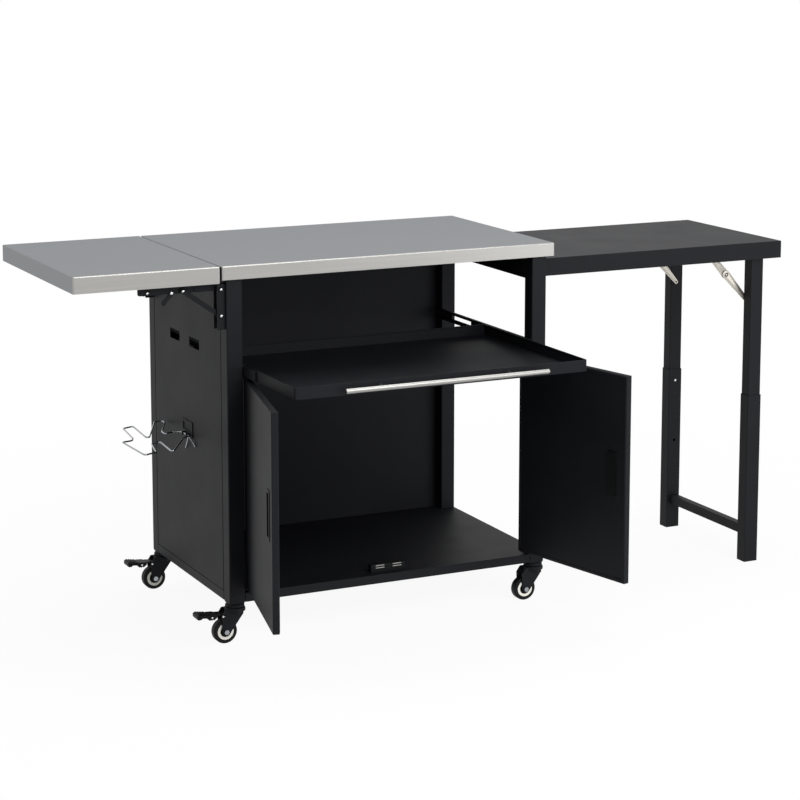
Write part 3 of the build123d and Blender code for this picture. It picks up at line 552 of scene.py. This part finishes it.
def make_brakes():
    """The foot brakes' moulded shoes with grip ribs, their toothed cams and the rivets through them."""
    # Outlines of x from the swivel and z from the floor
    shoe = [(-102.0, 72.0), (-99.5, 68.5), (-92.0, 68.5), (-88.0, 71.5), (-72.0, 70.0), shoe_heel, shoe_toe,
            (-102.0, 78.5)]
    cam = [(-73.0, 66.5), (-69.5, 63.0), (-67.5, 65.5), (-64.0, 62.0), (-62.0, 65.0), (-58.5, 62.5),
           (-53.0, 66.0), (-49.0, 70.0), (-51.0, 75.5), (-70.0, 75.5)]
    heel_x, heel_z = shoe_heel
    toe_x, toe_z = shoe_toe
    slope = (toe_z - heel_z) / (heel_x - toe_x)
    for name in braked_casters:
        swivel = in_mm(pivots[name + "_swivel"])
        shoes = brake_bar(shoe, swivel, shoe_half_width, shoe_bevel)
        for i in range(rib_count):
            x = rib_first + rib_pitch * i
            top = heel_z - slope * (x - heel_x)
            low = (swivel.x + x - rib_half_thickness, swivel.y - rib_half_width, top - rib_root)
            high = (swivel.x + x + rib_half_thickness, swivel.y + rib_half_width, top + rib_rise)
            slab(shoes, low, high, rib_bevel)
        cams = brake_bar(cam, swivel, cam_half_width, cam_bevel)
        cam_rivets = brake_rivet_ends(cam_rivet, swivel, cam_half_width)
        fork_rivets = brake_rivet_ends(fork_rivet, swivel, fork_half_width)
        piece(name + "_brake_shoe", shoes, black_plastic, name + "_brake")
        piece(name + "_brake_cam", cams, black_steel, name + "_brake")
        piece(name + "_brake_rivets", cam_rivets, rivet_steel, name + "_brake")
        piece(name + "_fork_rivets", fork_rivets, rivet_steel, name + "_caster")


def make_bracket_pins():
    """Bright domed ends on the folding brackets' pins, front and rear."""
    arm_pivot = in_mm(pivots["side_shelf_fold"])
    strut_pivot = in_mm(pivots["strut_fold"])
    lever_pivot = in_mm(pivots["lever_fold"])
    strut_pin = arm_pivot + Vector((-strut_pin_out, 0, strut_pin_rise))
    arm_end = arm_pivot + Vector((-arm_rivet_out, 0, strut_pin_rise))
    for name, body, spots, node, height in (
        ("wall_plate_pin_ends", "cart", (arm_pivot, strut_pivot), "bracket_wall_plates", pin_dome_height),
        ("strut_pin_ends", "bracket_struts", (strut_pin,), "bracket_struts", pin_dome_height),
        ("lever_pin_ends", "release_levers", (lever_pivot,), "release_levers", lever_dome_height),
        ("arm_rivet_ends", "side_shelf", (arm_end,), "bracket_rivets", pin_dome_height),
    ):
        ends = bmesh.new()
        low, high = box_mm(node)
        for spot in spots:
            for side, y in ((-1, low.y), (1, high.y)):
                dome(ends, (spot.x, y, spot.z), (0, side, 0), pin_dome_radius, height)
        piece(name, ends, rivet_steel, body)


def make_snap_buttons():
    """Spring buttons that stand in the sleeves' upper holes, on the legs' inner sides."""
    low, high = box_mm("lower_leg_frame")
    buttons = bmesh.new()
    for side, face in ((1, low.y + sleeve_short), (-1, high.y - sleeve_short)):
        seat = ((low.x + high.x) / 2, face - side * snap_button_sunk, snap_button_z)
        dome(buttons, seat, (0, side, 0), snap_button_radius, snap_button_height)
    piece("leg_snap_buttons", buttons, rivet_steel, "lower_legs")


def make_braces():
    """The table's folding braces: pressed links that widen to the knee, with pins and knee washers."""
    foot = flat(pivots["lower_brace_fold"])
    head = flat(pivots["upper_brace_fold"])
    knee = (foot + head) / 2
    ring = [
        (washer_hole_radius, 0.0),
        (washer_radius, 0.0),
        (washer_radius - washer_edge, washer_thickness),
        (washer_hole_radius + washer_edge, washer_thickness),
    ]
    low, high = box_mm("upper_brace_links")
    lower, upper, washers = bmesh.new(), bmesh.new(), bmesh.new()
    for face, inward in ((low.y, 1), (high.y, -1)):
        ahead = face + inward * brace_link_thickness
        behind = face - inward * brace_gap
        seat = behind - inward * brace_link_thickness
        pressed_link(lower, foot, knee, (brace_foot_radius, brace_knee_radius), (seat, behind))
        pressed_link(upper, head, knee, (brace_head_radius, brace_knee_radius), (face, ahead))
        for links, spot, ends in (
            (lower, foot, (seat - inward * (brace_gap + leg_wall), behind)),
            (upper, head, (face, ahead + inward * (brace_gap + brace_tab_thickness))),
            (upper, knee, (face, ahead + inward * brace_link_thickness)),
        ):
            pin(links, spot, brace_pin_radius, *ends)
        lathe(washers, ring, (knee.x, seat, knee.y), (0, -inward, 0), closed=True, steps=28)
    for name, links, node, body in (
        ("lower_brace_pressings", lower, "lower_brace_links", "lower_braces"),
        ("upper_brace_pressings", upper, "upper_brace_links", "upper_braces"),
    ):
        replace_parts(piece(name, links, brace_steel, body), node)
    piece("brace_knee_washers", washers, black_steel, "lower_braces")


def make_pole_plates():
    """Two bright steel pole plates on the face of each catch magnet."""
    low, high = box_mm("catch_magnets")
    plates = bmesh.new()
    for x in (low.x, high.x - magnet_width):
        for z in (low.z, high.z - plate_height):
            far = (x + magnet_width, low.y + plate_sunk, z + plate_height)
            slab(plates, (x, low.y - plate_proud, z), far, plate_bevel)
    piece("catch_pole_plates", plates, stainless, "cart")


def make_tray_rim():
    """The tray's rolled inner rim."""
    low, high = box_mm("slide_out_tray")
    centre = (low + high) / 2
    loops = []
    for i in range(rim_sides):
        a = tau * i / rim_sides
        out = rim_roll * cos(a) - tray_sheet - rim_inset
        ring = rounded_rectangle((high.x - low.x) / 2 + out, (high.y - low.y) / 2 + out, tray_corner + out)
        z = high.z - rim_roll + rim_roll * sin(a)
        loops.append([(centre.x + x, centre.y + y, z) for x, y in ring])
    rim = bridge(bmesh.new(), loops, closed=True)
    piece("tray_rim_roll", rim, black_steel, "tray")


def make_handle_collars():
    """The collars where the tray's handle meets its front."""
    low, high = box_mm("tray_handle")
    profile = [
        (handle_post_radius, 0.0),
        (collar_radius, 0.0),
        (collar_radius, collar_wall),
        (collar_radius - collar_edge, collar_wall + collar_edge),
        (handle_post_radius + collar_edge, collar_height),
        (handle_post_radius, collar_height),
    ]
    collars = bmesh.new()
    for side in (-1, 1):
        x = (low.x + high.x + side * handle_post_spacing) / 2
        lathe(collars, profile, (x, high.y, (low.z + high.z) / 2), (0, -1, 0), closed=True, steps=32)
    piece("tray_handle_collars", collars, black_steel, "tray")


def make_door_hems():
    """The doors' folded hems: a raised border on each inner face."""
    section = [
        (hem_edge, 0.0),
        (hem_edge + hem_slope, hem_rise),
        (hem_width - hem_slope, hem_rise),
        (hem_width, 0.0),
    ]
    for side, name in ((-1, "left_door"), (1, "right_door")):
        pivot = in_mm(pivots[name + "_swing"])
        low, high = box_mm(name)
        turn = Matrix.Rotation(side * radians(door_open_angle), 3, "Z")
        middle_x = -side * (door_width / 2 - pivot_from_edge)
        middle_z = (low.z + high.z) / 2
        half_height = (high.z - low.z) / 2
        loops = []
        for inset, rise in section:
            ring = rounded_rectangle(door_width / 2 - inset, half_height - inset, hem_corner, steps=2)
            y = door_thickness - pivot_from_face + rise
            spots = []
            for across, up in ring:
                spot = turn @ Vector((middle_x + across, y, 0))
                spots.append(spot + Vector((pivot.x, pivot.y, middle_z + up)))
            loops.append(spots)
        hem = bridge(bmesh.new(), loops, closed=True)
        piece(name + "_hem", hem, black_steel, name)


make_hub_rings()
make_swivel_races()
make_brakes()
make_bracket_pins()
make_snap_buttons()
make_braces()
make_pole_plates()
make_tray_rim()
make_handle_collars()
make_door_hems()


# Stage, in metres

def seen_directly(tree):
    """One for rays that the camera, a mirror or glass sends, and zero for light bounced off matt faces."""
    path = add(tree, "ShaderNodeLightPath").outputs
    sent = {0: path["Is Camera Ray"], 1: path["Is Glossy Ray"]}
    either = add(tree, "ShaderNodeMath", sent, operation="MAXIMUM").outputs["Value"]
    passed = {0: either, 1: path["Is Transmission Ray"]}
    return add(tree, "ShaderNodeMath", passed, operation="MAXIMUM").outputs["Value"]


def make_floor():
    """A wide pale floor that stays white to the eye and keeps a faint shadow near the cart."""
    mesh = bpy.data.meshes.new("studio_floor")
    corners = [(x * floor_half, y * floor_half, 0) for x, y in ((-1, -1), (1, -1), (1, 1), (-1, 1))]
    mesh.from_pydata(corners, [], [(0, 1, 2, 3)])
    floor = bpy.data.objects.new("studio_floor", mesh)
    bpy.context.scene.collection.objects.link(floor)
    material = bpy.data.materials.new("studio_floor_paint")
    material.use_nodes = True
    tree = material.node_tree
    tree.nodes.clear()
    paint = add(tree, "ShaderNodeBsdfDiffuse", {"Color": linear("#f2f2f2")}).outputs["BSDF"]
    glow = add(tree, "ShaderNodeEmission", {"Color": linear("#ffffff"), "Strength": 1.0}).outputs["Emission"]
    place = add(tree, "ShaderNodeTexCoord").outputs["Object"]
    reach = add(tree, "ShaderNodeVectorMath", {0: place}, operation="LENGTH").outputs["Value"]
    whitening = {"Value": reach, "From Min": shadow_start, "From Max": shadow_end, "To Min": floor_whiteness}
    fade = add(tree, "ShaderNodeMapRange", whitening).outputs["Result"]
    seen_share = {0: seen_directly(tree), 1: fade}
    share = add(tree, "ShaderNodeMath", seen_share, operation="MULTIPLY").outputs["Value"]
    mix = add(tree, "ShaderNodeMixShader", {0: share, 1: paint, 2: glow}).outputs["Shader"]
    add(tree, "ShaderNodeOutputMaterial", {"Surface": mix})
    mesh.materials.append(material)


def make_world():
    """A white studio: white where it is seen, dimmer as a light."""
    world = bpy.data.worlds.new("studio")
    bpy.context.scene.world = world
    world.use_nodes = True
    tree = world.node_tree
    tree.nodes.clear()
    level = {"Value": seen_directly(tree), "To Min": fill_light, "To Max": 1.0}
    strength = add(tree, "ShaderNodeMapRange", level).outputs["Result"]
    sky = add(tree, "ShaderNodeBackground", {"Color": linear("#ffffff"), "Strength": strength})
    add(tree, "ShaderNodeOutputWorld", {"Surface": sky.outputs["Background"]})


def make_softbox(name, place, aim, size, watts, mirrored=True):
    """A large rectangular lamp aimed at a point; one that isn't mirrored leaves metal as it is."""
    lamp = bpy.data.lights.new(name, "AREA")
    lamp.shape = "RECTANGLE"
    lamp.size, lamp.size_y = size
    lamp.energy = watts
    box = bpy.data.objects.new(name, lamp)
    box.location = place
    box.rotation_euler = (Vector(aim) - Vector(place)).to_track_quat("-Z", "Y").to_euler()
    box.visible_camera = False
    box.visible_glossy = mirrored
    bpy.context.scene.collection.objects.link(box)


def make_lamps():
    """Soft light from the front, the right, low in front and above."""
    make_softbox("key_softbox", place=(0.3, -3.4, 2.8), aim=(0.1, 0.0, 0.6), size=(2.4, 1.6), watts=90)
    make_softbox("right_softbox", place=(2.6, -3.0, 1.1), aim=(0.3, 0.0, 0.8), size=(1.4, 1.6), watts=24)
    make_softbox(
        "low_softbox",
        place=(0.9, -4.2, 0.8),
        aim=(0.0, 0.0, 0.6),
        size=(2.0, 1.0),
        watts=60,
        mirrored=False,
    )
    make_softbox("top_softbox", place=(0.2, 0.4, 3.4), aim=(0.2, 0.1, 0.9), size=(3.0, 1.6), watts=52)


def make_camera():
    """The camera at the photograph's angle."""
    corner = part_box("worktop")[0]
    camera_data = bpy.data.cameras.new("camera")
    camera_data.sensor_width = sensor_width
    camera_data.lens = focal_pixels / picture_pixels * sensor_width
    camera_data.shift_y = camera_shift
    camera = bpy.data.objects.new("camera", camera_data)
    camera.location = Vector((corner.x, corner.y, 0)) + Vector(camera_place) * MM
    camera.rotation_euler = (radians(90 - camera_tilt), 0, -radians(camera_turn))
    bpy.context.scene.collection.objects.link(camera)
    bpy.context.scene.camera = camera


make_floor()
make_world()
make_lamps()
make_camera()
bpy.context.scene.view_settings.view_transform = "Standard"
